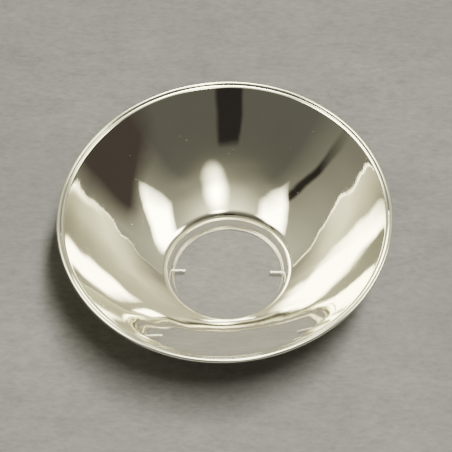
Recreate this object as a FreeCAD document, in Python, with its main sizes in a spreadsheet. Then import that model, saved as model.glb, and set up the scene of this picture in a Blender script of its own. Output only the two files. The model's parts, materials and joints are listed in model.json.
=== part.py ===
import FreeCAD, Part
import math
import os

import Sketcher
from FreeCAD import Vector

# Polished parabolic reflector of a vintage flash gun, lying on the end of its neck.
# Frame: millimetres, +Z is the reflector's optical axis and points out of the open side.
# The origin is the centre of the neck's bottom face. The two catch ends lie along X,
# and the keeper of the retaining spring is at +Y.

DRIVING = {
    "rim_radius": 63.5,            # outermost edge of the rim, half of 5 inches
    "sheet": 0.8,                  # thickness of the spun sheet
    "focal_length": 22.25,         # focal length of the polished parabola
    "crease_radius": 60.6,         # where the parabola ends, at a small step inside the rim
    "crease_bend": 0.6,            # bend radius at the crease, on the back of the sheet
    "step_radius": 61.35,          # centre of the second bend, which turns the step up again
    "step_bend": 0.4,              # radius of that bend, on the front of the sheet
    "flange_slope": 47.0,          # degrees above horizontal
    "edge_radius": 0.8,            # round bead at the edge of the rim
    "neck_radius": 22.1,           # inside of the neck
    "neck_wall_top": 2.45,         # height where the straight wall meets the shoulder
    "shoulder_radius": 7.2,        # rounded mouth of the neck, on the polished side
    "lip_radius": 21.25,           # opening left by the turned-in bottom lip
    "wire_radius": 0.5,            # retaining spring wire
    "wire_level": 2.85,            # height of the wire's centreline
    "wire_gap": 0.2,               # air between the wire and the neck
    "wire_bend": 1.2,              # centreline radius where the wire turns inwards
    "catch_tip": 16.8,             # distance of each catch end from the axis
    "tip_round": 0.15,             # rounding of the cut wire end
    "arm_gap": 0.25,               # half of the gap between the two arms, in the keeper
    "slot_height": 1.6,
    "slot_front": 0.9,             # slot end on the -Y side of the catch
    "slot_back": 3.3,              # slot end on the +Y side, which the catch swings to
    "keeper_sheet": 0.6,
    "keeper_gap": 0.5,             # room round the wire inside the keeper
    "keeper_angle": 13.0,          # degrees of the neck that the keeper covers
    "keeper_air": 0.03,            # between the top edge of the keeper and the bowl
}

TANGENT_STEPS = 60  # rounds that settle where two curves touch

doc = FreeCAD.newDocument("flash_reflector")
sheet = doc.addObject("Spreadsheet::Sheet", "dims")


def fill_sheet():
    for row, (name, value) in enumerate(DRIVING.items(), start=1):
        sheet.set(f"A{row}", name)
        sheet.set(f"B{row}", str(value))
        sheet.setAlias(f"B{row}", name)
    doc.recompute()


def dim(name):
    return float(sheet.get(name))


def new_body(label):
    body = doc.addObject("PartDesign::Body", label)
    body.Label = label
    return body


def origin_plane(body, role):
    return next(item for item in body.Origin.OriginFeatures if item.Role == role)


def new_sketch(body, name, role, offset=None):
    sketch = body.newObject("Sketcher::SketchObject", name)
    sketch.AttachmentSupport = (origin_plane(body, role), [""])
    sketch.MapMode = "FlatFace"
    if offset is not None:
        sketch.AttachmentOffset = FreeCAD.Placement(offset, FreeCAD.Rotation())
    return sketch


def polar(center, radius, degrees):
    angle = math.radians(degrees)
    return Vector(center.x + radius * math.cos(angle), center.y + radius * math.sin(angle), 0)


def line(start, end):
    return Part.LineSegment(start, end)


def arc(center, radius, low, high):
    """Circular arc, anticlockwise from low to high degrees."""
    circle = Part.Circle(center, Vector(0, 0, 1), radius)
    return Part.ArcOfCircle(circle, math.radians(low), math.radians(high))


def on_parabola(focal, vertex, x):
    """Point of the upright parabola y = vertex + x^2 / (4 focal)."""
    return Vector(x, vertex + x * x / (4 * focal), 0)


def parabola_poles(focal, vertex, inner, outer):
    """The three poles whose quadratic spline is exactly the parabola from inner to outer."""
    first = on_parabola(focal, vertex, inner)
    last = on_parabola(focal, vertex, outer)
    middle = (inner + outer) / 2
    return [first, Vector(middle, first.y + (middle - inner) * inner / (2 * focal), 0), last]


def parabola_spline(focal, vertex, inner, outer):
    spline = Part.BSplineCurve()
    spline.buildFromPolesMultsKnots(parabola_poles(focal, vertex, inner, outer), [3, 3], [0, 1], False, 2)
    return spline


def parabola_arc(focal, vertex, inner, outer):
    curve = Part.Parabola(Vector(0, vertex + focal, 0), Vector(0, vertex, 0), Vector(0, 0, 1))
    ends = sorted(curve.parameter(on_parabola(focal, vertex, x)) for x in (inner, outer))
    return Part.ArcOfParabola(curve, *ends)


def bind(sketch, name, expression, kind, *where):
    """Adds a dimension to the sketch, names it and ties it to the sheet."""
    index = sketch.addConstraint(Sketcher.Constraint(kind, *where))
    sketch.renameConstraint(index, name)
    sketch.setExpression(f"Constraints.{name}", expression)


def close_outline(sketch, smooth):
    """Joins each curve to the next, end to end. The joints in smooth are tangent as well."""
    curves = sketch.Geometry
    joints = []
    for first, curve in enumerate(curves):
        second = (first + 1) % len(curves)
        kind = "Tangent" if first in smooth else "Coincident"
        ends = ((1, curve.StartPoint), (2, curve.EndPoint))
        next_ends = ((1, curves[second].StartPoint), (2, curves[second].EndPoint))
        near = [(a, b) for a, p in ends for b, q in next_ends if p.distanceToPoint(q) < 1e-6]
        joints.append(Sketcher.Constraint(kind, first, near[0][0], second, near[0][1]))
    for joint in joints:
        sketch.addConstraint(joint)


def bowl_points():
    """Key points of the bowl's section: x is the distance from the axis, y is the height."""
    thick = dim("sheet")
    focal = dim("focal_length")
    flange = dim("flange_slope")
    bend_radius = dim("crease_bend")
    edge_radius = dim("edge_radius")

    # The shoulder's arc runs into the parabola where both lean by the same angle.
    shoulder = Vector(dim("neck_radius") + dim("shoulder_radius"), dim("neck_wall_top"), 0)
    lean = 0.0
    for _ in range(TANGENT_STEPS):
        reach = shoulder.x - dim("shoulder_radius") * math.sin(lean)
        lean = math.atan(reach / (2 * focal))
    lean = math.degrees(lean)
    start = polar(shoulder, dim("shoulder_radius"), 90 + lean)
    start_back = polar(shoulder, dim("shoulder_radius") - thick, 90 + lean)
    vertex = start.y - start.x ** 2 / (4 * focal)

    # The bend at the crease is tangent to the parabola, and the step's bend to the flange.
    crease = dim("crease_radius")
    steep = math.degrees(math.atan(crease / (2 * focal)))
    end = Vector(crease, vertex + crease ** 2 / (4 * focal), 0)
    bend = polar(end, bend_radius + thick, steep - 90)
    end_back = polar(bend, bend_radius, steep + 90)
    step_bend = dim("step_bend")
    between = bend_radius + thick + step_bend
    ledge = math.degrees(math.asin((bend.x - dim("step_radius")) / between))
    step = polar(bend, between, ledge + 90)
    flange_start = polar(step, step_bend, flange - 90)
    flange_start_back = polar(step, step_bend + thick, flange - 90)

    # The bead is flush with the flange's front and bulges past its back.
    along = polar(Vector(), 1, flange)
    inward = polar(Vector(), 1, flange - 90)
    edge_x = dim("rim_radius") - edge_radius
    flange_end = flange_start + along * ((edge_x - flange_start.x - inward.x * edge_radius) / along.x)
    edge = flange_end + inward * edge_radius
    drop = thick - edge_radius
    flange_end_back = edge + inward * drop - along * math.sqrt(edge_radius ** 2 - drop ** 2)

    # The back of the sheet is a second parabola, through both offset ends.
    focal_back = (end_back.x ** 2 - start_back.x ** 2) / (4 * (end_back.y - start_back.y))
    vertex_back = start_back.y - start_back.x ** 2 / (4 * focal_back)
    return {
        "shoulder": shoulder,
        "lean": lean,
        "start": start,
        "start_back": start_back,
        "mirror": (focal, vertex, start.x, end.x),
        "mirror_back": (focal_back, vertex_back, start_back.x, end_back.x),
        "steep": steep,
        "end": end,
        "end_back": end_back,
        "bend": bend,
        "ledge": ledge,
        "step": step,
        "flange_start": flange_start,
        "flange_start_back": flange_start_back,
        "flange_end": flange_end,
        "flange_end_back": flange_end_back,
        "edge": edge,
    }


def draw_bowl_section(sketch, p):
    """The sheet's closed section: up the polished front, round the rim's edge and down the back.

    Joints at corners are plain, and those at the parabolas are made tangent by guide_mirror."""
    thick = dim("sheet")
    shoulder_radius = dim("shoulder_radius")
    bend_radius = dim("crease_bend")
    step_bend = dim("step_bend")
    slope = dim("flange_slope")
    ledge = p["ledge"]
    steep = p["steep"]
    lip_foot = Vector(dim("lip_radius"), 0, 0)
    lip_head = Vector(dim("lip_radius"), thick, 0)
    foot = Vector(dim("neck_radius"), 0, 0)
    wall_foot = Vector(dim("neck_radius"), thick, 0)
    wall_head = Vector(dim("neck_radius"), dim("neck_wall_top"), 0)
    back_head = wall_head + Vector(thick, 0, 0)
    back_foot = wall_foot + Vector(thick, 0, 0)
    edge_end = p["flange_end_back"] - p["edge"]
    edge_low = math.degrees(math.atan2(edge_end.y, edge_end.x))

    outline = [
        ("lip_edge", line(lip_foot, lip_head)),
        ("lip_top", line(lip_head, wall_foot)),
        ("wall", line(wall_foot, wall_head)),
        ("shoulder", arc(p["shoulder"], shoulder_radius, 90 + p["lean"], 180)),
        ("mirror", parabola_spline(*p["mirror"])),
        ("crease", arc(p["bend"], bend_radius + thick, ledge + 90, steep + 90)),
        ("step", arc(p["step"], step_bend, ledge - 90, slope - 90)),
        ("flange", line(p["flange_start"], p["flange_end"])),
        ("edge", arc(p["edge"], dim("edge_radius"), edge_low, slope + 90)),
        ("flange_back", line(p["flange_end_back"], p["flange_start_back"])),
        ("step_back", arc(p["step"], step_bend + thick, ledge - 90, slope - 90)),
        ("crease_back", arc(p["bend"], bend_radius, ledge + 90, steep + 90)),
        ("mirror_back", parabola_spline(*p["mirror_back"])),
        ("shoulder_back", arc(p["shoulder"], shoulder_radius - thick, 90 + p["lean"], 180)),
        ("wall_back", line(back_head, back_foot)),
        ("corner", arc(wall_foot, thick, -90, 0)),
        ("foot", line(foot, lip_foot)),
    ]
    place = {name: index for index, (name, _) in enumerate(outline)}
    sketch.addGeometry([curve for _, curve in outline], False)
    corners = ("lip_edge", "lip_top", "edge", "foot")
    guided = ("shoulder", "mirror", "crease_back", "mirror_back")
    smooth = set(place.values()) - {place[name] for name in corners + guided}
    close_outline(sketch, smooth)
    return place


def guide_mirror(sketch, spline, before, after, shape):
    """Holds a spline of the section to a true parabola, whose focus and vertex are on the axis.

    The spline's middle pole is where the parabola's tangents at its two ends meet.
    before and after are the neighbouring curves' inner and outer joints, as (curve, end).
    Returns the line from vertex to focus."""
    poles = parabola_poles(*shape)
    guide = sketch.addGeometry(parabola_arc(*shape), True)
    inner_leg = sketch.addGeometry(line(poles[0], poles[1]), True)
    outer_leg = sketch.addGeometry(line(poles[1], poles[2]), True)
    first_pole = len(sketch.Geometry)
    sketch.exposeInternalGeometry(spline)
    sketch.exposeInternalGeometry(guide)
    focal_axis = len(sketch.Geometry) - 1
    rules = [
        ("Tangent", before[0], before[1], guide, 2),
        ("Tangent", after[0], after[1], guide, 1),
        ("Tangent", inner_leg, 1, guide, 2),
        ("Tangent", outer_leg, 2, guide, 1),
        ("Coincident", inner_leg, 2, outer_leg, 1),
        ("Coincident", inner_leg, 2, first_pole + 1, 3),
        ("PointOnObject", focal_axis, 1, -2),
        ("PointOnObject", focal_axis, 2, -2),
    ]
    for rule in rules:
        sketch.addConstraint(Sketcher.Constraint(*rule))
    return focal_axis


def dimension_bowl_section(sketch, place, p):
    """Ties the section to the sheet."""
    origin, base = -1, -1
    start, end, center = 1, 2, 3
    focal_axis = guide_mirror(sketch, place["mirror"], (place["shoulder"], start), (place["crease"], end),
                              p["mirror"])
    guide_mirror(sketch, place["mirror_back"], (place["shoulder_back"], start), (place["crease_back"], end),
                 p["mirror_back"])
    rules = [
        ("Horizontal", place["lip_top"]),
        ("Horizontal", place["foot"]),
        ("PointOnObject", place["foot"], end, base),
        ("Vertical", place["lip_edge"]),
        ("Vertical", place["wall"]),
        ("Vertical", place["wall_back"]),
        ("Coincident", place["shoulder"], center, place["shoulder_back"], center),
        ("Coincident", place["crease"], center, place["crease_back"], center),
        ("Coincident", place["step"], center, place["step_back"], center),
        ("Coincident", place["corner"], center, place["wall"], start),
        ("Parallel", place["flange"], place["flange_back"]),
    ]
    for rule in rules:
        sketch.addConstraint(Sketcher.Constraint(*rule))

    lip = dim("lip_radius")
    neck = dim("neck_radius")
    wall_top = dim("neck_wall_top")
    thick = dim("sheet")
    shoulder = dim("shoulder_radius")
    bend = dim("crease_bend")
    bind(sketch, "lip", "dims.lip_radius", "DistanceX", origin, start, place["lip_edge"], start, lip)
    bind(sketch, "neck", "dims.neck_radius", "DistanceX", origin, start, place["wall"], start, neck)
    bind(sketch, "wall_top", "dims.neck_wall_top", "DistanceY", origin, start, place["wall"], end, wall_top)
    bind(sketch, "lip_sheet", "dims.sheet", "DistanceY", place["lip_edge"], start, place["lip_edge"], end,
         thick)
    bind(sketch, "shoulder_front", "dims.shoulder_radius", "Radius", place["shoulder"], shoulder)
    bind(sketch, "crease_back", "dims.crease_bend", "Radius", place["crease_back"], bend)
    bind(sketch, "crease_front", "dims.crease_bend + dims.sheet", "Radius", place["crease"], bend + thick)
    bind(sketch, "crease_at", "dims.crease_radius", "DistanceX", origin, start, place["mirror"], end,
         dim("crease_radius"))
    bind(sketch, "step_front", "dims.step_bend", "Radius", place["step"], dim("step_bend"))
    bind(sketch, "step_at", "dims.step_radius", "DistanceX", origin, start, place["step"], center,
         dim("step_radius"))
    bind(sketch, "focal", "dims.focal_length", "Distance", focal_axis, dim("focal_length"))
    bind(sketch, "edge_radius", "dims.edge_radius", "Radius", place["edge"], dim("edge_radius"))
    bind(sketch, "rim", "dims.rim_radius - dims.edge_radius", "DistanceX", origin, start, place["edge"],
         center, p["edge"].x)
    bind(sketch, "slope", "dims.flange_slope * 1deg", "Angle", place["flange"],
         math.radians(dim("flange_slope")))


def revolve(body, name, sketch, degrees=None):
    feature = body.newObject("PartDesign::Revolution", name)
    feature.Profile = sketch
    feature.ReferenceAxis = (sketch, ["V_Axis"])
    if degrees is None:
        feature.Angle = 360
    else:
        feature.setExpression("Angle", degrees)
        feature.Midplane = True
    return feature


def make_bowl(label):
    """Spun bowl in one sheet: beaded flange, step, parabola, rounded shoulder, neck and lip."""
    body = new_body(label)
    points = bowl_points()
    section = new_sketch(body, "bowl_section", "XZ_Plane")
    place = draw_bowl_section(section, points)
    dimension_bowl_section(section, place, points)
    doc.recompute()
    shell = revolve(body, "bowl_shell", section)
    doc.recompute()

    # One slot on each side of the neck lets a catch end in, with room for its swing.
    outline = new_sketch(body, "slot_outline", "YZ_Plane")
    low = dim("wire_level") - dim("slot_height") / 2
    high = dim("wire_level") + dim("slot_height") / 2
    radius = dim("slot_height") / 2
    front = radius - dim("slot_front")
    back = dim("slot_back") - radius
    level = dim("wire_level")
    outline.addGeometry([
        line(Vector(front, low, 0), Vector(back, low, 0)),
        arc(Vector(back, level, 0), radius, -90, 90),
        line(Vector(back, high, 0), Vector(front, high, 0)),
        arc(Vector(front, level, 0), radius, 90, 270),
    ], False)
    close_outline(outline, {0, 1, 2, 3})
    for level_edge in (0, 2):
        outline.addConstraint(Sketcher.Constraint("Horizontal", level_edge))
    bind(outline, "slot_radius", "dims.slot_height / 2", "Radius", 1, radius)
    bind(outline, "slot_level", "dims.wire_level", "DistanceY", -1, 1, 1, 3, level)
    bind(outline, "slot_back", "dims.slot_back - dims.slot_height / 2", "DistanceX", -1, 1, 1, 3, back)
    bind(outline, "slot_front", "dims.slot_front - dims.slot_height / 2", "DistanceX", 3, 3, -1, 1, -front)
    doc.recompute()
    before = shell.Shape.Volume
    slots = body.newObject("PartDesign::Pocket", "catch_slots")
    slots.Profile = outline
    slots.Midplane = True
    slots.Type = 0
    slots.setExpression("Length", "2 * dims.rim_radius")
    doc.recompute()
    if slots.Shape.Volume >= before:
        raise RuntimeError("the catch slots cut nothing")
    return body


def make_spring_arm(label, side):
    """Half of the retaining spring: from the keeper round the neck to the catch end that turns inwards.

    side is -1 for the arm on the -X side and 1 for the other."""
    body = new_body(label)
    neck_back = dim("neck_radius") + dim("sheet")
    run = neck_back + dim("wire_gap") + dim("wire_radius")
    bend = dim("wire_bend")
    bend_x = math.sqrt((run - bend) ** 2 - bend ** 2)
    corner = Vector(side * bend_x, bend, 0)
    leave = corner * (run / (run - bend))
    tip = Vector(side * dim("catch_tip"), 0, 0)
    turn_in = Vector(side * bend_x, 0, 0)
    leave_angle = math.degrees(math.atan2(leave.y, leave.x))
    keeper_end = 90 - side * math.degrees(math.asin(dim("arm_gap") / run))
    bend_angles = (-90, leave_angle) if side > 0 else (leave_angle, 270)
    run_angles = (leave_angle, keeper_end) if side > 0 else (keeper_end, leave_angle)

    path = new_sketch(body, label + "_path", "XY_Plane")
    path.setExpression("AttachmentOffset.Base.z", "dims.wire_level")
    path.addGeometry([
        line(tip, turn_in),
        arc(corner, bend, *bend_angles),
        arc(Vector(), run, *run_angles),
    ], False)
    near, far = (1, 2) if side > 0 else (2, 1)
    joints = [
        ("Tangent", 0, 2, 1, near),
        ("Tangent", 1, far, 2, near),
        ("Coincident", 2, 3, -1, 1),
        ("PointOnObject", 0, 1, -1),
        ("Horizontal", 0),
    ]
    for joint in joints:
        path.addConstraint(Sketcher.Constraint(*joint))
    run_size = "dims.neck_radius + dims.sheet + dims.wire_gap + dims.wire_radius"
    bind(path, "bend", "dims.wire_bend", "Radius", 1, bend)
    bind(path, "run", run_size, "Radius", 2, run)
    if side > 0:
        bind(path, "tip", "dims.catch_tip", "DistanceX", -1, 1, 0, 1, dim("catch_tip"))
        bind(path, "gap", "dims.arm_gap", "DistanceX", -1, 1, 2, far, dim("arm_gap"))
    else:
        bind(path, "tip", "dims.catch_tip", "DistanceX", 0, 1, -1, 1, dim("catch_tip"))
        bind(path, "gap", "dims.arm_gap", "DistanceX", 2, far, -1, 1, dim("arm_gap"))

    ring = new_sketch(body, label + "_ring", "YZ_Plane")
    ring.setExpression("AttachmentOffset.Base.z", f"{side} * dims.catch_tip")
    ring.addGeometry(Part.Circle(Vector(0, dim("wire_level"), 0), Vector(0, 0, 1), dim("wire_radius")), False)
    ring.addConstraint(Sketcher.Constraint("PointOnObject", 0, 3, -2))
    bind(ring, "level", "dims.wire_level", "DistanceY", -1, 1, 0, 3, dim("wire_level"))
    bind(ring, "wire", "dims.wire_radius", "Radius", 0, dim("wire_radius"))
    doc.recompute()

    wire = body.newObject("PartDesign::AdditivePipe", label + "_wire")
    wire.Profile = ring
    wire.Spine = (path, ["Edge1", "Edge2", "Edge3"])
    doc.recompute()

    # The cut end is rounded, so that it doesn't score the lamp head.
    rounded = body.newObject("PartDesign::Fillet", label + "_tip")
    rounded.Base = (wire, [tip_edge(wire.Shape, side)])
    rounded.setExpression("Radius", "dims.tip_round")
    doc.recompute()
    return body


def tip_edge(shape, side):
    """Name of the round edge at the catch end."""
    tip_x = side * dim("catch_tip")
    for number, edge in enumerate(shape.Edges, start=1):
        box = edge.BoundBox
        if abs(box.XMin - tip_x) < 1e-4 and abs(box.XMax - tip_x) < 1e-4:
            return f"Edge{number}"
    raise RuntimeError("no edge at the catch end")


def make_keeper(label):
    """Folded strip welded to the neck and the bowl: it holds the middle of the spring."""
    body = new_body(label)
    wall = dim("neck_radius") + dim("sheet")
    strip = dim("keeper_sheet")
    wire = dim("wire_radius")
    gap = dim("keeper_gap")
    inside = wall + dim("wire_gap") + 2 * wire + gap
    floor = dim("wire_level") - wire - gap
    outside = inside + strip

    # The head follows the underside of the shoulder.
    bend = dim("shoulder_radius") - dim("sheet")
    center_x = dim("neck_radius") + dim("shoulder_radius")

    def under_bowl(radius):
        return dim("neck_wall_top") + math.sqrt(bend ** 2 - (center_x - radius) ** 2) - dim("keeper_air")

    corners = [
        Vector(wall, floor - strip, 0),
        Vector(outside, floor - strip, 0),
        Vector(outside, under_bowl(outside), 0),
        Vector(inside, under_bowl(inside), 0),
        Vector(inside, floor, 0),
        Vector(wall, floor, 0),
    ]
    section = new_sketch(body, "keeper_section", "XZ_Plane")
    ends = zip(corners, corners[1:] + corners[:1])
    section.addGeometry([line(a, b) for a, b in ends], False)
    close_outline(section, set())
    for upright in (1, 3, 5):
        section.addConstraint(Sketcher.Constraint("Vertical", upright))
    for level in (0, 4):
        section.addConstraint(Sketcher.Constraint("Horizontal", level))
    room = "dims.neck_radius + dims.sheet + dims.wire_gap + 2 * dims.wire_radius + dims.keeper_gap"
    bind(section, "wall", "dims.neck_radius + dims.sheet", "DistanceX", -1, 1, 0, 1, wall)
    bind(section, "inside", room, "DistanceX", -1, 1, 3, 1, inside)
    bind(section, "outside", f"{room} + dims.keeper_sheet", "DistanceX", -1, 1, 1, 1, outside)
    bind(section, "floor", "dims.wire_level - dims.wire_radius - dims.keeper_gap", "DistanceY", -1, 1, 4, 1,
         floor)
    bind(section, "strip", "dims.keeper_sheet", "DistanceY", 0, 1, 5, 1, strip)
    bend_size = "dims.shoulder_radius - dims.sheet"
    center_size = "dims.neck_radius + dims.shoulder_radius"
    for name, corner, place in (("head_outer", 2, f"{room} + dims.keeper_sheet"), ("head_inner", 3, room)):
        rise = f"sqrt(({bend_size})^2 - ({center_size} - ({place}))^2)"
        height = f"dims.neck_wall_top + {rise} - dims.keeper_air"
        bind(section, name, height, "DistanceY", -1, 1, corner, 1, corners[corner].y)
    doc.recompute()
    revolve(body, "keeper_strip", section, "dims.keeper_angle")
    body.Placement = FreeCAD.Placement(Vector(), FreeCAD.Rotation(Vector(0, 0, 1), 90))
    doc.recompute()
    return body


def check_document(nodes):
    for item in doc.Objects:
        if {"Invalid", "Error"} & set(item.State):
            raise RuntimeError(f"{item.Label} failed: {item.State}")
        if item.TypeId == "Sketcher::SketchObject" and not item.FullyConstrained:
            raise RuntimeError(f"{item.Label} is not fully constrained")
    for node in nodes:
        shape = node.Shape
        if shape.isNull() or not shape.isValid() or len(shape.Solids) != 1:
            raise RuntimeError(f"{node.Label} is not one valid solid")
        print(node.Label, round(shape.Volume, 1), shape.BoundBox)


fill_sheet()
nodes = [
    make_bowl("reflector_bowl"),
    make_keeper("spring_keeper"),
    make_spring_arm("retaining_spring_left", -1),
    make_spring_arm("retaining_spring_right", 1),
]
doc.recompute()
check_document(nodes)
os.makedirs("parts", exist_ok=True)
for node in nodes:
    node.Shape.exportStep(f"parts/{node.Label}.step")
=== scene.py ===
import json
import math

import bmesh
import bpy
from mathutils import Matrix, Vector, noise


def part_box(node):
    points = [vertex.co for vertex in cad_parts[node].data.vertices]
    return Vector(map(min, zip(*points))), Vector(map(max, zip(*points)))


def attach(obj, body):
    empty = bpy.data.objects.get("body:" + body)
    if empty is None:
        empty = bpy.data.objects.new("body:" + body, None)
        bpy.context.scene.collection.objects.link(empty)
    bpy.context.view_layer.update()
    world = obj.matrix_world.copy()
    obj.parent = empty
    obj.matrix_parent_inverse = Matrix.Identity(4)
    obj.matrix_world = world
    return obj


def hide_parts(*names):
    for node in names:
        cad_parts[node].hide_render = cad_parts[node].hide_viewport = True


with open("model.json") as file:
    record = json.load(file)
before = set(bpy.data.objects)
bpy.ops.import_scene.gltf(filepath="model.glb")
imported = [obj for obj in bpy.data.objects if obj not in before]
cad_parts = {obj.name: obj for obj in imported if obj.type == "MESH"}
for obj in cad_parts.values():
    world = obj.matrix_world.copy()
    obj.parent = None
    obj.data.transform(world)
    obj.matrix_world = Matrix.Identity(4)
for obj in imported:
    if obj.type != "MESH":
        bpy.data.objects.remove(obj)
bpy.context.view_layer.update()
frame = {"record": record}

# Looks of a polished flash reflector, in metres, in the frame of the CAD model:
# +Z is the optical axis, the catch ends lie along X and the spring keeper is at +Y.

MM = 0.001
MOUNTS = {mount["name"]: mount for mount in frame["record"]["mounts"]}
BOWL_LOW, BOWL_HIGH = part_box("reflector_bowl")
KEEPER_LOW, KEEPER_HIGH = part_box("spring_keeper")
ARM_LOW, ARM_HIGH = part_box("retaining_spring_right")

# The spun bowl.
RIM = min(BOWL_HIGH.x, BOWL_HIGH.y, -BOWL_LOW.x, -BOWL_LOW.y)
LIP = MOUNTS["lip_bore"]["dims"]["r_mm"] * MM
SHEET = MOUNTS["lip_bore"]["dims"]["length_mm"] * MM
NECK = 22.1 * MM
WALL_TOP = 2.45 * MM
SHOULDER = 7.2 * MM
FOCAL = 22.25 * MM
CREASE = 60.6 * MM
CREASE_BEND = 0.6 * MM
STEP_AT = 61.35 * MM
STEP_BEND = 0.4 * MM
FLANGE_SLOPE = math.radians(47)
BEAD = 0.8 * MM
LIP_ROUND = 0.25 * MM
SHARP_FROM = 30

# How many flat pieces the bowl has round its axis and along each stretch of its outline.
AROUND = 288
FRONT_STEPS = dict(lip=6, wall=6, shoulder=36, parabola=80, crease=12, step=8, flange=3, bead=16)
BACK_STEPS = dict(bead=14, flange=3, step=6, crease=6, parabola=54, shoulder=20, wall=6, foot=10,
                  floor=3, lip=6)

# Gentle unevenness that spinning and handling leave in the sheet, away from the neck and the rim.
WAVE_DEPTH = 0.09 * MM
WAVE_LENGTH = 10 * MM
WAVES_START = NECK + SHOULDER
WAVES_FULL = NECK + 2 * SHOULDER
WAVES_FADE = CREASE - 3 * MM
WAVES_END = CREASE + 0.5 * MM

# The retaining spring and the slots that its ends pass through.
WIRE = (ARM_HIGH.z - ARM_LOW.z) / 2
WIRE_LEVEL = (ARM_HIGH.z + ARM_LOW.z) / 2
WIRE_AIR = 0.2 * MM
WIRE_RUN = NECK + SHEET + WIRE_AIR + WIRE
WIRE_BEND = 1.2 * MM
WIRE_SIDES = 28
CATCH_TIP = 16.8 * MM
TIP_ROUND = 0.18 * MM
ARM_GAP = 0.25 * MM
SLOT_HEIGHT = 1.6 * MM
SLOT_FRONT = 0.9 * MM
SLOT_BACK = 3.3 * MM

# The keeper: a folded strip.
STRIP = 0.6 * MM
STRIP_ROUND = 0.12 * MM
FOLD = 0.25 * MM
HEAD_SLANT = 0.57 * MM

# Where the finish changes: wear over the rim's bead, and the lip inside the neck, which is rougher and
# painted dark as shade.
RIM_WEAR = 1.2 * MM
LIP_FADE = 0.2 * MM

# The studio. The key light lights the matt surfaces, and the sky and the cards are mostly for the
# mirror, so these shares of their light are what the matt surfaces get.
MATT_SHARE = 0.055  # of the sky's light
BOUNCE_SHARE = 0.3  # of the cards' light that would reach them by way of the mirror
TABLE_SIZE = 12.0
KEY_LIGHT = dict(name="key_light", azimuth=56, elevation=75.5, wide=0.2, high=0.84, power=55,
                 color=(1.0, 0.985, 0.95), turn=-62, away=1.8)

# Cards that the mirror reflects: the angles at which they stand and that they cover, in degrees.
SOFT_BOX_COLOR = (1.0, 0.975, 0.68)
CARDS = (
    dict(name="dark_card_front", azimuth=-2, elevation=25, wide=17, high=22, color=(1.0, 0.85, 0.8),
         strength=0.03),
    dict(name="dark_card_left", azimuth=78, elevation=15, wide=62, high=28, color=(1.0, 0.82, 0.68),
         strength=0.07, away=2.2, fade=0.25),
    dict(name="dark_card_right", azimuth=-72, elevation=27, wide=7, high=40, color=(1.0, 0.9, 0.7),
         strength=0.03, turn=14, away=2.2, fade=0.3),
    dict(name="soft_box_high", azimuth=15, elevation=55, wide=25, high=30, color=SOFT_BOX_COLOR,
         strength=26.0, round_shape=True),
    dict(name="soft_box_right", azimuth=96, elevation=40, wide=40, high=20, color=SOFT_BOX_COLOR,
         strength=16.0, turn=-12, fade=0.25),
    dict(name="soft_box_left", azimuth=-92, elevation=53, wide=56, high=26, color=SOFT_BOX_COLOR,
         strength=16.0, turn=8, fade=0.25),
    dict(name="soft_box_top", azimuth=180, elevation=80, wide=26, high=24, color=(1.0, 0.98, 0.76),
         strength=30.0, fade=0.3),
)

# The camera, at the photograph's view of the reflector.
CAMERA_TURN = math.radians(5.49)
CAMERA_ELEVATION = math.radians(57.42)
CAMERA_ROLL = math.radians(3.585)
CAMERA_AWAY = 0.7
CAMERA_TARGET = Vector((0, 0, 20 * MM))
CAMERA_SENSOR = 36.0
CAMERA_LENS = 143.7
CAMERA_SHIFT_X = -0.001
CAMERA_SHIFT_Y = 0.0488


# ---------------------------------------------------------------- outlines

def polar(center, radius, angle):
    return Vector((center[0] + radius * math.cos(angle), center[1] + radius * math.sin(angle)))


def arc(center, radius, start, end, steps):
    """Points along an arc from one angle to another, both ends included."""
    return [polar(center, radius, start + (end - start) * k / steps) for k in range(steps + 1)]


def parabola(focal, vertex, start, end, steps):
    xs = [start + (end - start) * k / steps for k in range(steps + 1)]
    return [Vector((x, vertex + x * x / (4 * focal))) for x in xs]


def straight(start, end, steps):
    return [start.lerp(end, k / steps) for k in range(steps + 1)]


def rounded(corners):
    """Closed outline whose corners, each (x, y, radius, steps), are rounded by arcs."""
    outline = []
    for number, (x, y, radius, steps) in enumerate(corners):
        corner = Vector((x, y))
        back = (Vector(corners[number - 1][:2]) - corner).normalized()
        ahead = (Vector(corners[(number + 1) % len(corners)][:2]) - corner).normalized()
        half = back.angle(ahead) / 2
        center = corner + (back + ahead).normalized() * (radius / math.sin(half))
        first = corner + back * (radius / math.tan(half)) - center
        start = math.atan2(first.y, first.x)
        turn = math.copysign(math.pi - 2 * half, back.y * ahead.x - back.x * ahead.y)
        outline += arc(center, radius, start, start + turn, steps)
    return outline


def without_repeats(points, least=1e-7):
    kept = [points[0]]
    for point in points[1:]:
        if (point - kept[-1]).length > least:
            kept.append(point)
    return kept


def shoulder_lean(center_x, rounds=60):
    """Slope at which the shoulder's arc runs into the parabola. Each round comes closer to it."""
    lean = 0.0
    for _ in range(rounds):
        lean = math.atan((center_x - SHOULDER * math.sin(lean)) / (2 * FOCAL))
    return lean


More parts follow.
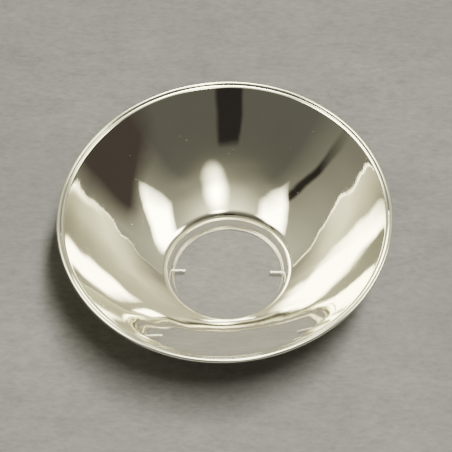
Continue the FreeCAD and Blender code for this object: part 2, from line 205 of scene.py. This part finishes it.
def bowl_outline():
    """The polished face and the back of the sheet, each as (distance from the axis, height)."""
    up = math.pi / 2
    shoulder = Vector((NECK + SHOULDER, WALL_TOP))
    lean = shoulder_lean(shoulder.x)
    start = polar(shoulder, SHOULDER, up + lean)
    start_back = polar(shoulder, SHOULDER - SHEET, up + lean)
    vertex = start.y - start.x ** 2 / (4 * FOCAL)

    # The crease bends the sheet down to a ledge, and the step turns it up again into the flange.
    steep = math.atan(CREASE / (2 * FOCAL))
    end = Vector((CREASE, vertex + CREASE ** 2 / (4 * FOCAL)))
    bend = polar(end, CREASE_BEND + SHEET, steep - up)
    end_back = polar(bend, CREASE_BEND, steep + up)
    between = CREASE_BEND + SHEET + STEP_BEND
    ledge = math.asin((bend.x - STEP_AT) / between)
    step = polar(bend, between, ledge + up)
    flange_start = polar(step, STEP_BEND, FLANGE_SLOPE - up)
    flange_start_back = polar(step, STEP_BEND + SHEET, FLANGE_SLOPE - up)

    # The flange's front runs into the round bead, and its back stops where it meets the bead.
    along = polar((0, 0), 1, FLANGE_SLOPE)
    inward = polar((0, 0), 1, FLANGE_SLOPE - up)
    bead_x = RIM - BEAD
    flange_end = flange_start + along * ((bead_x - flange_start.x - inward.x * BEAD) / along.x)
    bead = flange_end + inward * BEAD
    drop = SHEET - BEAD
    flange_end_back = bead + inward * drop - along * math.sqrt(BEAD ** 2 - drop ** 2)
    bead_low = math.atan2(flange_end_back.y - bead.y, flange_end_back.x - bead.x)

    # The back of the bowl is a parabola of its own between the ends that lie behind the front's.
    focal_back = (end_back.x ** 2 - start_back.x ** 2) / (4 * (end_back.y - start_back.y))
    vertex_back = start_back.y - start_back.x ** 2 / (4 * focal_back)

    lip_head = Vector((LIP + LIP_ROUND, SHEET - LIP_ROUND))
    lip_foot = Vector((LIP + LIP_ROUND, LIP_ROUND))
    lip_corner = Vector((NECK - LIP_ROUND, SHEET + LIP_ROUND))
    steps = FRONT_STEPS
    front = (
        arc(lip_head, LIP_ROUND, math.pi, up, steps["lip"])
        + arc(lip_corner, LIP_ROUND, -up, 0, steps["lip"])
        + straight(Vector((NECK, SHEET + LIP_ROUND)), Vector((NECK, WALL_TOP)), steps["wall"])
        + arc(shoulder, SHOULDER, math.pi, up + lean, steps["shoulder"])
        + parabola(FOCAL, vertex, start.x, end.x, steps["parabola"])
        + arc(bend, CREASE_BEND + SHEET, steep + up, ledge + up, steps["crease"])
        + arc(step, STEP_BEND, ledge - up, FLANGE_SLOPE - up, steps["step"])
        + straight(flange_start, flange_end, steps["flange"])
        + arc(bead, BEAD, FLANGE_SLOPE + up, 0, steps["bead"])
    )
    steps = BACK_STEPS
    back = (
        arc(bead, BEAD, 0, bead_low, steps["bead"])
        + straight(flange_end_back, flange_start_back, steps["flange"])
        + arc(step, STEP_BEND + SHEET, FLANGE_SLOPE - up, ledge - up, steps["step"])
        + arc(bend, CREASE_BEND, ledge + up, steep + up, steps["crease"])
        + parabola(focal_back, vertex_back, end_back.x, start_back.x, steps["parabola"])
        + arc(shoulder, SHOULDER - SHEET, up + lean, math.pi, steps["shoulder"])
        + straight(Vector((NECK + SHEET, WALL_TOP)), Vector((NECK + SHEET, SHEET)), steps["wall"])
        + arc((NECK, SHEET), SHEET, 0, -up, steps["foot"])
        + straight(Vector((NECK, 0)), Vector((LIP + LIP_ROUND, 0)), steps["floor"])
        + arc(lip_foot, LIP_ROUND, -up, -math.pi, steps["lip"])
    )
    return without_repeats(front), without_repeats(back)


# ---------------------------------------------------------------- meshes

def new_object(name, data):
    item = bpy.data.objects.new(name, data)
    bpy.context.scene.collection.objects.link(item)
    return item


def mesh_from(name, bm, sharp=SHARP_FROM):
    """Turns a bmesh into a smooth-shaded mesh whose edges stay sharp past an angle in degrees."""
    bmesh.ops.recalc_face_normals(bm, faces=bm.faces)
    mesh = bpy.data.meshes.new(name)
    bm.to_mesh(mesh)
    bm.free()
    mesh.shade_smooth()
    mesh.set_sharp_from_angle(angle=math.radians(sharp))
    return mesh


def rectangle(name, width, height):
    """Flat rectangle around the origin that faces +Z."""
    bm = bmesh.new()
    corners = ((-1, -1), (1, -1), (1, 1), (-1, 1))
    bm.faces.new([bm.verts.new((x * width / 2, y * height / 2, 0)) for x, y in corners])
    mesh = bpy.data.meshes.new(name)
    bm.to_mesh(mesh)
    bm.free()
    return new_object(name, mesh)


def join_rings(bm, rings):
    """Skin between rings of equally many points, each joined to the one after it."""
    for first, second in zip(rings, rings[1:]):
        for k in range(len(first)):
            after = (k + 1) % len(first)
            bm.faces.new((first[k], first[after], second[after], second[k]))
    bm.faces.new(rings[0])
    bm.faces.new(rings[-1])


def smooth_step(value, low, high):
    share = min(max((value - low) / (high - low), 0.0), 1.0)
    return share * share * (3 - 2 * share)


def unevenness(x, y, outward):
    """How far the sheet is pushed up at a place, the same on its front and its back."""
    share = smooth_step(outward, WAVES_START, WAVES_FULL)
    share *= smooth_step(outward, WAVES_END, WAVES_FADE)
    return WAVE_DEPTH * share * noise.noise(Vector((x, y, outward)) / WAVE_LENGTH)


def lathe(front, back):
    """Closed body turned about Z. Faces of the front get material 0, the others material 1."""
    outline = front + back[1:-1]
    count = len(outline)
    bm = bmesh.new()
    rings = []
    for step in range(AROUND):
        angle = 2 * math.pi * step / AROUND
        ring = []
        for p in outline:
            x, y = p.x * math.cos(angle), p.x * math.sin(angle)
            ring.append(bm.verts.new((x, y, p.y + unevenness(x, y, p.x))))
        rings.append(ring)
    for step, ring in enumerate(rings):
        after = rings[(step + 1) % AROUND]
        for low in range(count):
            high = (low + 1) % count
            face = bm.faces.new((ring[low], ring[high], after[high], after[low]))
            face.material_index = 0 if low < len(front) - 1 else 1
    return bm


def slot_cutter(half_turn_steps=24):
    """A long bar along X whose section is the outline of the two catch slots."""
    radius = SLOT_HEIGHT / 2
    up = math.pi / 2
    outline = arc((SLOT_BACK - radius, WIRE_LEVEL), radius, -up, up, half_turn_steps)
    outline += arc((radius - SLOT_FRONT, WIRE_LEVEL), radius, up, 3 * up, half_turn_steps)
    reach = NECK + 4 * SHEET
    bm = bmesh.new()
    ends = [[bm.verts.new((x, p.x, p.y)) for p in outline] for x in (-reach, reach)]
    join_rings(bm, ends)
    return new_object("slot_cutter", mesh_from("slot_cutter", bm))


def make_bowl():
    """The lathed sheet with its two slots. The cut keeps which material each face has."""
    front, back = bowl_outline()
    bowl = new_object("mirror_bowl", mesh_from("mirror_bowl", lathe(front, back)))
    cutter = slot_cutter()
    cut = bowl.modifiers.new("slots", "BOOLEAN")
    cut.object = cutter
    cut.operation = "DIFFERENCE"
    cut.solver = "EXACT"
    evaluated = bowl.evaluated_get(bpy.context.evaluated_depsgraph_get())
    mesh = bpy.data.meshes.new_from_object(evaluated)
    bowl.modifiers.clear()
    bowl.data = mesh
    mesh.name = "mirror_bowl_mesh"
    mesh.shade_smooth()
    mesh.set_sharp_from_angle(angle=math.radians(SHARP_FROM))
    bpy.data.objects.remove(cutter)
    return bowl


def sweep(bm, stations, radius_at):
    """Round bar through stations, each a (centre, direction) in the XY plane, with flat ends."""
    rings = []
    for number, (center, along) in enumerate(stations):
        side = Vector((-along.y, along.x, 0))
        radius = radius_at(number)
        ring = []
        for k in range(WIRE_SIDES):
            angle = 2 * math.pi * k / WIRE_SIDES
            offset = side * (radius * math.cos(angle)) + Vector((0, 0, radius * math.sin(angle)))
            ring.append(bm.verts.new(center + offset))
        rings.append(ring)
    join_rings(bm, rings)


def make_arm(name, side, tip_steps=6, catch_steps=12, bend_steps=16, run_steps=72):
    """Half of the retaining spring. side is -1 for the -X arm and 1 for the +X arm."""
    bend_x = math.sqrt((WIRE_RUN - WIRE_BEND) ** 2 - WIRE_BEND ** 2)
    leave = math.atan2(WIRE_BEND, bend_x)
    finish = math.pi / 2 - math.asin(ARM_GAP / WIRE_RUN)
    stations = []

    def station(x, y, heading):
        direction = Vector((side * math.cos(heading), math.sin(heading), 0))
        stations.append((Vector((side * x, y, WIRE_LEVEL)), direction))

    # The rounded tip, the straight catch end, the bend out of the slot and the run round the neck.
    for k in range(tip_steps + 1):
        station(CATCH_TIP + TIP_ROUND * (1 - math.cos(math.pi / 2 * k / tip_steps)), 0, 0)
    for k in range(1, catch_steps):
        station(CATCH_TIP + TIP_ROUND + (bend_x - CATCH_TIP - TIP_ROUND) * k / catch_steps, 0, 0)
    turn = math.pi / 2 + leave
    for k in range(bend_steps + 1):
        heading = turn * k / bend_steps
        center = polar((bend_x, WIRE_BEND), WIRE_BEND, heading - math.pi / 2)
        station(center.x, center.y, heading)
    for k in range(1, run_steps + 1):
        angle = leave + (finish - leave) * k / run_steps
        center = polar((0, 0), WIRE_RUN, angle)
        station(center.x, center.y, angle + math.pi / 2)

    def radius_at(number):
        if number > tip_steps:
            return WIRE
        return WIRE - TIP_ROUND * (1 - math.sin(math.pi / 2 * number / tip_steps))

    bm = bmesh.new()
    sweep(bm, stations, radius_at)
    return new_object(name, mesh_from(name, bm))


def make_keeper(edge_steps=4, fold_steps=6, back_steps=10, bend_steps=16, sharp=40):
    """Folded strip with a rounded fold and softened edges, bent to the curve of the neck."""
    wall = NECK + SHEET
    outside = KEEPER_HIGH.y
    inside = outside - STRIP
    foot = KEEPER_LOW.z
    floor = foot + STRIP
    head = KEEPER_HIGH.z
    outline = rounded([
        (wall, floor, STRIP_ROUND, edge_steps),
        (wall, foot, STRIP_ROUND, edge_steps),
        (outside, foot, FOLD + STRIP, back_steps),
        (outside, head, STRIP_ROUND, edge_steps),
        (inside, head - HEAD_SLANT, STRIP_ROUND, edge_steps),
        (inside, floor, FOLD, fold_steps),
    ])
    half = math.atan2(KEEPER_HIGH.x, outside)
    bm = bmesh.new()
    rings = []
    for step in range(bend_steps + 1):
        angle = math.pi / 2 - half + 2 * half * step / bend_steps
        rings.append([bm.verts.new((p.x * math.cos(angle), p.x * math.sin(angle), p.y)) for p in outline])
    join_rings(bm, rings)
    return new_object("keeper_strip", mesh_from("keeper_strip", bm, sharp))


# ---------------------------------------------------------------- materials

class Paint:
    """Short names for the nodes that the surfaces and the world here share."""

    def __init__(self, tree):
        self.nodes = tree.nodes
        self.links = tree.links
        self.shader = self.nodes.get("Principled BSDF")

    def plug(self, value, socket):
        """Feeds a socket from another node's output, or sets it to a constant."""
        if isinstance(value, bpy.types.NodeSocket):
            self.links.new(value, socket)
        else:
            socket.default_value = value

    def add(self, kind, inputs=None, **settings):
        node = self.nodes.new(kind)
        for key, value in settings.items():
            setattr(node, key, value)
        for key, value in (inputs or {}).items():
            self.plug(value, node.inputs[key])
        return node

    def math(self, operation, a, b):
        return self.add("ShaderNodeMath", {0: a, 1: b}, operation=operation).outputs[0]

    def vector(self, operation, a, b=None, scale=None):
        inputs = {0: a, 1: b, "Scale": scale}
        given = {key: value for key, value in inputs.items() if value is not None}
        node = self.add("ShaderNodeVectorMath", given, operation=operation)
        return node.outputs["Value" if operation == "LENGTH" else "Vector"]

    def place(self):
        return self.add("ShaderNodeTexCoord").outputs["Object"]

    def flat_place(self):
        """The place seen along the axis, whose length is the distance from the axis."""
        return self.vector("MULTIPLY", self.place(), (1, 1, 0))

    def rings(self, around, across):
        """Coordinates for marks round the axis: a small around draws them out, across packs them."""
        flat = self.flat_place()
        height = self.add("ShaderNodeSeparateXYZ", {0: self.place()}).outputs["Z"]
        outward = self.vector("LENGTH", flat)
        along = self.math("MULTIPLY", self.math("ADD", outward, height), across)
        turned = self.vector("SCALE", self.vector("NORMALIZE", flat), scale=around)
        return self.vector("ADD", turned, self.add("ShaderNodeCombineXYZ", {2: along}).outputs[0])

    def noise(self, vector, scale, detail=2.0, roughness=0.5, distortion=0.0):
        inputs = {"Vector": vector, "Scale": scale, "Detail": detail, "Roughness": roughness,
                  "Distortion": distortion}
        return self.add("ShaderNodeTexNoise", inputs).outputs["Fac"]

    def ramp(self, value, low, high, to_low=0.0, to_high=1.0):
        inputs = {"Value": value, "From Min": low, "From Max": high, "To Min": to_low, "To Max": to_high}
        return self.add("ShaderNodeMapRange", inputs, clamp=True).outputs["Result"]

    def mix(self, share, first, second):
        """Mixes two colours. A mix node's sockets for colours are inputs 6 and 7 and output 2."""
        return self.add("ShaderNodeMix", {0: share, 6: first, 7: second}, data_type="RGBA").outputs[2]

    def tinted(self, color, *tints):
        """A colour mixed with one tint after the other, each by its mask times its weight."""
        for mask, weight, tint in tints:
            color = self.mix(self.math("MULTIPLY", mask, weight), color, tint)
        return color

    def layered(self, value, *layers):
        """A value to which each mask times its weight is added."""
        for mask, weight in layers:
            value = self.math("ADD", value, self.math("MULTIPLY", mask, weight))
        return value

    def bump(self, height, distance, under=None):
        inputs = {"Height": height, "Distance": distance, "Strength": 1.0}
        if under is not None:
            inputs["Normal"] = under
        return self.add("ShaderNodeBump", inputs).outputs["Normal"]

    def hairlines(self, scale, turn, cover):
        """Sparse short hairline scratches: noise drawn out along one direction and broken up."""
        inputs = {
            "Vector": self.place(),
            "Rotation": (0.4 * turn, 0.7 * turn, turn),
            "Scale": (scale, scale / 14, scale / 3),
        }
        drawn_out = self.add("ShaderNodeMapping", inputs).outputs[0]
        lines = self.ramp(self.noise(drawn_out, 1.0, 1.0, 0.4), 1 - cover, 1 - cover + 0.04)
        breaks = self.ramp(self.noise(self.place(), 90), 0.5, 0.65)
        return self.math("MULTIPLY", lines, breaks)

    def metal(self, color, roughness, normal):
        """Makes the shader a metal with these looks."""
        self.plug(color, self.shader.inputs["Base Color"])
        self.plug(1.0, self.shader.inputs["Metallic"])
        self.plug(roughness, self.shader.inputs["Roughness"])
        self.plug(normal, self.shader.inputs["Normal"])


def rgb(red, green, blue):
    return (red, green, blue, 1.0)


def new_material(name):
    material = bpy.data.materials.new(name)
    material.use_nodes = True
    return material, Paint(material.node_tree)


def edges(paint):
    """Two masks, 0 on broad surfaces and 1 along the rim's bead and along the lip."""
    outward = paint.vector("LENGTH", paint.flat_place())
    return paint.ramp(outward, RIM - RIM_WEAR, RIM), paint.ramp(outward, NECK, NECK - LIP_FADE)


def mirror_material():
    """Spun metal buffed to a mirror: ring marks, hairlines, haze, dust, a worn rim, and a rougher lip whose
    dark colour is painted shade.
    """
    material, paint = new_material("mirror_polish")
    clean = rgb(0.935, 0.92, 0.825)
    hazy = rgb(0.89, 0.87, 0.765)
    dusty = rgb(0.62, 0.60, 0.56)
    worn = rgb(0.74, 0.72, 0.68)
    # The lip's dark colour is painted shade: it dims what the lip inside the neck reflects.
    dull = rgb(0.30, 0.285, 0.25)

    haze = paint.ramp(paint.noise(paint.place(), 34, 4, 0.6, 0.6), 0.45, 0.75)
    rings = paint.noise(paint.rings(2.2, 1700), 1.0, 3, 0.65)
    ring_lines = paint.ramp(rings, 0.5, 0.8)
    scratches = paint.math("MAXIMUM", paint.hairlines(900, 0.6, 0.30), paint.hairlines(700, 2.1, 0.29))
    cells = paint.add("ShaderNodeTexVoronoi", {"Vector": paint.place(), "Scale": 420.0}, feature="F1")
    specks = paint.ramp(cells.outputs["Distance"], 0.10, 0.05)
    dust = paint.math("MULTIPLY", specks, paint.ramp(paint.noise(paint.place(), 150, 1), 0.56, 0.64))
    rim, lip = edges(paint)
    wear = paint.math("MULTIPLY", rim, paint.ramp(paint.noise(paint.place(), 260, 3), 0.35, 0.7))

    # The lip mask mixes in the dark lip colour, which is painted shade, and raises the roughness there.
    color = paint.tinted(
        paint.mix(haze, clean, hazy), (dust, 0.7, dusty), (wear, 0.4, worn), (lip, 0.8, dull))
    roughness = paint.layered(
        0.028, (haze, 0.035), (ring_lines, 0.03), (scratches, 0.05), (dust, 0.35), (wear, 0.16), (lip, 0.30))
    sway = paint.noise(paint.place(), 55, 2, 0.5, 0.4)
    swell = paint.noise(paint.rings(1.1, 130), 1.0, 2, 0.5)
    normal = paint.bump(sway, 0.016 * MM)
    normal = paint.bump(swell, 0.010 * MM, under=normal)
    normal = paint.bump(rings, 0.0006 * MM, under=normal)
    paint.metal(color, roughness, normal)
    return material


def satin_material(name, tone, coarse):
    """Unpolished aluminium, duller than the mirror: clear marks round the axis and handling marks."""
    material, paint = new_material(name)
    dull = rgb(*[0.86 * part for part in tone[:3]])
    scratched = rgb(0.92, 0.92, 0.91)

    rings = paint.noise(paint.rings(1.5, coarse), 1.0, 4, 0.7)
    patches = paint.ramp(paint.noise(paint.place(), 48, 4, 0.6, 0.8), 0.35, 0.75)
    scratches = paint.math("MAXIMUM", paint.hairlines(800, 1.1, 0.31), paint.hairlines(600, 2.7, 0.30))

    color = paint.tinted(paint.mix(patches, tone, dull), (scratches, 0.35, scratched))
    roughness = paint.layered(0.36, (patches, 0.10), (rings, 0.12))
    normal = paint.bump(rings, 0.004 * MM)
    normal = paint.bump(scratches, 0.002 * MM, under=normal)
    paint.metal(color, roughness, normal)
    return material


def wire_material():
    """Bright drawn spring wire: fine marks along the wire, darker spots where it has been handled."""
    material, paint = new_material("drawn_wire")
    bright = rgb(0.96, 0.95, 0.92)
    handled = rgb(0.80, 0.77, 0.72)

    drawn = paint.noise(paint.rings(3.0, 9000), 1.0, 3, 0.6)
    spots = paint.ramp(paint.noise(paint.place(), 700, 3, 0.6), 0.55, 0.7)

    color = paint.mix(spots, bright, handled)
    roughness = paint.layered(0.20, (drawn, 0.12), (spots, 0.15))
    paint.metal(color, roughness, paint.bump(drawn, 0.002 * MM))
    return material


def table_material():
    """Pale matt table with a faint mottle, drawn out a little along X."""
    material, paint = new_material("table")
    darker = rgb(0.192, 0.186, 0.168)
    paler = rgb(0.326, 0.316, 0.286)
    clouded = rgb(0.192, 0.187, 0.172)

    drawn_out = paint.vector("MULTIPLY", paint.place(), (0.6, 1.4, 1.0))
    blotches = paint.ramp(paint.noise(drawn_out, 60, 6, 0.72, 0.8), 0.32, 0.68)
    flecks = paint.ramp(paint.noise(drawn_out, 420, 4, 0.7, 0.5), 0.36, 0.64)
    clouds = paint.ramp(paint.noise(paint.place(), 17, 4, 0.55, 0.6), 0.34, 0.66)
    grain = paint.noise(paint.place(), 900, 2, 0.6)
    mottle = paint.layered(paint.math("MULTIPLY", blotches, 0.5), (flecks, 0.5))

    inputs = paint.shader.inputs
    paint.plug(paint.tinted(paint.mix(mottle, darker, paler), (clouds, 0.42, clouded)), inputs["Base Color"])
    paint.plug(0.85, inputs["Roughness"])
    paint.plug(0.25, inputs["Specular IOR Level"])
    paint.plug(paint.bump(grain, 0.05 * MM), inputs["Normal"])
    return material


def glow_material(name, color, strength, fade, round_shape):
    """Light or dark reflection card whose light fades towards its borders."""
    material, paint = new_material(name)
    paint.nodes.remove(paint.shader)
    place = paint.add("ShaderNodeTexCoord").outputs["Generated"]
    offset = paint.vector("MULTIPLY", paint.vector("SUBTRACT", place, (0.5, 0.5, 0.0)), (1, 1, 0))
    if round_shape:
        share = paint.math("POWER", paint.ramp(paint.vector("LENGTH", offset), 0.5, 0.0), 2.0)
    else:
        parts = paint.add("ShaderNodeSeparateXYZ", {0: paint.vector("ABSOLUTE", offset)}).outputs
        wide = paint.ramp(parts["X"], 0.5, 0.5 - fade)
        share = paint.math("MULTIPLY", wide, paint.ramp(parts["Y"], 0.5, 0.5 - fade))
    bounces = paint.add("ShaderNodeLightPath").outputs["Diffuse Depth"]
    power = paint.ramp(bounces, 0.0, 1.0, strength, strength * BOUNCE_SHARE)
    glow = paint.add("ShaderNodeEmission", {"Color": rgb(*color), "Strength": power})
    clear = paint.add("ShaderNodeBsdfTransparent")
    blend = paint.add("ShaderNodeMixShader", {0: share, 1: clear.outputs[0], 2: glow.outputs[0]})
    paint.links.new(blend.outputs[0], paint.nodes["Material Output"].inputs["Surface"])
    return material


# ---------------------------------------------------------------- stage

def towards(azimuth, elevation):
    """Unit direction: azimuth 0 is the camera's side (-Y) and grows to +X, in degrees."""
    around, rise = math.radians(azimuth), math.radians(elevation)
    return Vector((
        math.sin(around) * math.cos(rise),
        -math.cos(around) * math.cos(rise),
        math.sin(rise),
    ))


def place_around(item, azimuth, elevation, away, turn, z_outward):
    """Stands an item away from the reflector and spins it. Its +Z looks outward, or else inward."""
    direction = towards(azimuth, elevation)
    looks = direction if z_outward else -direction
    aim = looks.to_track_quat("Z", "Y").to_matrix().to_4x4()
    spin = Matrix.Rotation(math.radians(turn), 4, "Z")
    item.matrix_world = Matrix.Translation(direction * away) @ aim @ spin


def card(name, azimuth, elevation, wide, high, color, strength, turn=0.0, away=2.0, fade=0.12,
         round_shape=False):
    """Card that the mirror reflects, given as the angles that it covers, seen from the reflector."""
    width = 2 * away * math.tan(math.radians(wide / 2))
    height = 2 * away * math.tan(math.radians(high / 2))
    panel = rectangle(name, width, height)
    place_around(panel, azimuth, elevation, away, turn, z_outward=False)
    panel.data.materials.append(glow_material(name, color, strength, fade, round_shape))
    panel.visible_camera = False
    panel.visible_diffuse = False
    panel.visible_shadow = False


def light(name, azimuth, elevation, wide, high, power, color, turn, away):
    """Rectangular lamp, which shines along its -Z and doesn't show in the mirror."""
    lamp = bpy.data.lights.new(name, "AREA")
    lamp.shape = "RECTANGLE"
    lamp.size = wide
    lamp.size_y = high
    lamp.energy = power
    lamp.color = color
    holder = new_object(name, lamp)
    place_around(holder, azimuth, elevation, away, turn, z_outward=True)
    holder.visible_camera = False
    holder.visible_glossy = False


def make_world():
    """Soft studio air: dark low down in front and bright high up there, lighter behind, duller overhead."""
    front_low = rgb(0.12, 0.118, 0.097)
    front_high = rgb(3.4, 3.32, 2.2)
    back_low = rgb(0.28, 0.27, 0.205)
    back_high = rgb(0.90, 0.88, 0.62)
    overhead = rgb(0.46, 0.44, 0.34)

    world = bpy.data.worlds.new("room")
    world.use_nodes = True
    paint = Paint(world.node_tree)
    direction = paint.add("ShaderNodeTexCoord").outputs["Generated"]
    parts = paint.add("ShaderNodeSeparateXYZ", {0: direction}).outputs
    rise = paint.math("POWER", paint.ramp(parts["Z"], 0.2, 0.92), 8.0)
    front = paint.mix(rise, front_low, front_high)
    back = paint.mix(paint.ramp(parts["Z"], 0.05, 0.75), back_low, back_high)
    color = paint.mix(paint.ramp(parts["Y"], -0.55, 0.35), front, back)
    color = paint.mix(paint.ramp(parts["Z"], 0.89, 0.96), color, overhead)
    matt = paint.add("ShaderNodeLightPath").outputs["Is Diffuse Ray"]
    background = paint.nodes["Background"]
    paint.plug(color, background.inputs["Color"])
    paint.plug(paint.ramp(matt, 0.0, 1.0, 1.0, MATT_SHARE), background.inputs["Strength"])
    bpy.context.scene.world = world


def make_stage():
    table = rectangle("table_top", TABLE_SIZE, TABLE_SIZE)
    table.data.materials.append(table_material())

    make_world()
    light(**KEY_LIGHT)
    for settings in CARDS:
        card(**settings)


def make_camera():
    """The photograph's view: from the front, 57 degrees above the table, with a slight roll."""
    ahead = Vector((
        -math.sin(CAMERA_TURN) * math.cos(CAMERA_ELEVATION),
        math.cos(CAMERA_TURN) * math.cos(CAMERA_ELEVATION),
        -math.sin(CAMERA_ELEVATION),
    ))
    level = Vector((math.cos(CAMERA_TURN), math.sin(CAMERA_TURN), 0))
    right = level * math.cos(CAMERA_ROLL) - level.cross(ahead) * math.sin(CAMERA_ROLL)
    upward = right.cross(ahead)
    data = bpy.data.cameras.new("camera")
    data.sensor_width = CAMERA_SENSOR
    data.lens = CAMERA_LENS
    data.shift_x = CAMERA_SHIFT_X
    data.shift_y = CAMERA_SHIFT_Y
    camera = new_object("camera", data)
    place = CAMERA_TARGET - ahead * CAMERA_AWAY
    camera.matrix_world = Matrix.Translation(place) @ Matrix((right, upward, -ahead)).transposed().to_4x4()
    bpy.context.scene.camera = camera


# ---------------------------------------------------------------- the reflector

def finish_piece(piece, body, node, slot, *materials):
    """Gives a piece its materials, the body it moves with and the CAD node it replaces. The slot argument is
    not used.
    """
    for material in materials:
        piece.data.materials.append(material)
    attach(piece, body)
    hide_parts(node)


wire = wire_material()
finish_piece(make_bowl(), "reflector", "reflector_bowl", "polished_aluminium",
             mirror_material(), satin_material("spun_back", rgb(0.80, 0.80, 0.79), 2600))
finish_piece(make_keeper(), "reflector", "spring_keeper", "plain_aluminium",
             satin_material("rolled_strip", rgb(0.74, 0.74, 0.73), 4200))
finish_piece(make_arm("spring_arm_left", -1), "spring_left", "retaining_spring_left", "spring_wire", wire)
finish_piece(make_arm("spring_arm_right", 1), "spring_right", "retaining_spring_right", "spring_wire", wire)

make_stage()
make_camera()
